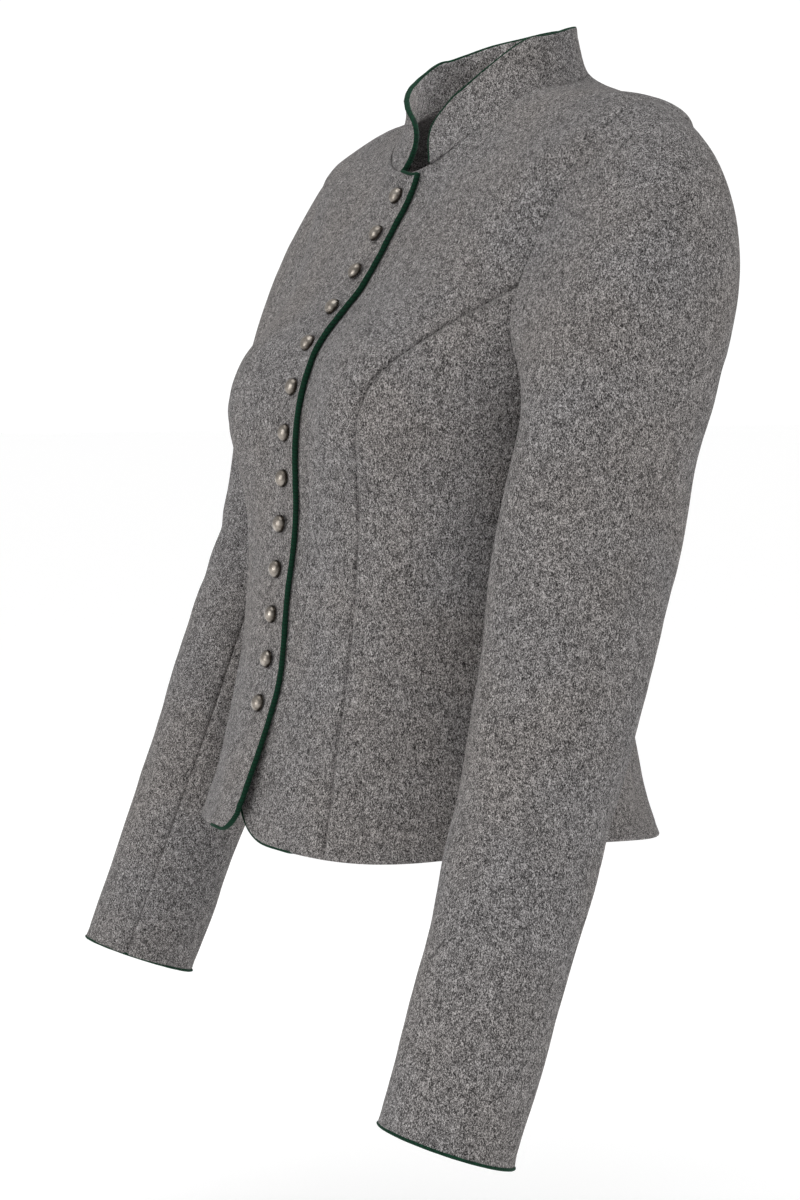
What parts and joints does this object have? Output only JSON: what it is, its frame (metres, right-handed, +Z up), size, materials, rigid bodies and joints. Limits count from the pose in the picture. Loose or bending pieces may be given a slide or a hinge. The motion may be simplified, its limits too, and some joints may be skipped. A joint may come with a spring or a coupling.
{
  "type": "tyrolean loden jacket",
  "caption": "Waist-length grey loden jacket with a stand collar, green piping, princess seams, two-piece sleeves and a close row of domed silver-coloured buttons, filled out as if worn.",
  "frame": {"origin": "the nape of the wearer, at the centre back, 5 mm below the seam that joins the collar to the back", "axes": "+Z up, -Y the way the wearer faces, +X to the wearer's left"},
  "size_m": [0.5332, 0.3178, 0.6919],
  "materials": {
    "grey_loden": "milled wool, grey melange, soft matt nap",
    "green_piping": "dark green twill, matt",
    "old_silver": "aged silver-coloured metal, satin"
  },
  "bodies": {
    "root": {"back_left": "grey_loden", "back_right": "grey_loden", "button_01": "old_silver", "button_02": "old_silver", "button_03": "old_silver", "button_04": "old_silver", "button_05": "old_silver", "button_06": "old_silver", "button_07": "old_silver", "button_08": "old_silver", "button_09": "old_silver", "button_10": "old_silver", "button_11": "old_silver", "button_12": "old_silver", "button_13": "old_silver", "collar": "grey_loden", "front_left": "grey_loden", "front_right": "grey_loden", "piping_collar": "green_piping", "piping_cuff_left": "green_piping", "piping_cuff_right": "green_piping", "piping_front_left": "green_piping", "piping_front_right": "green_piping", "side_front_left": "grey_loden", "side_front_right": "grey_loden", "sleeve_top_left": "grey_loden", "sleeve_top_right": "grey_loden", "sleeve_under_left": "grey_loden", "sleeve_under_right": "grey_loden"}
  },
  "joints": []
}
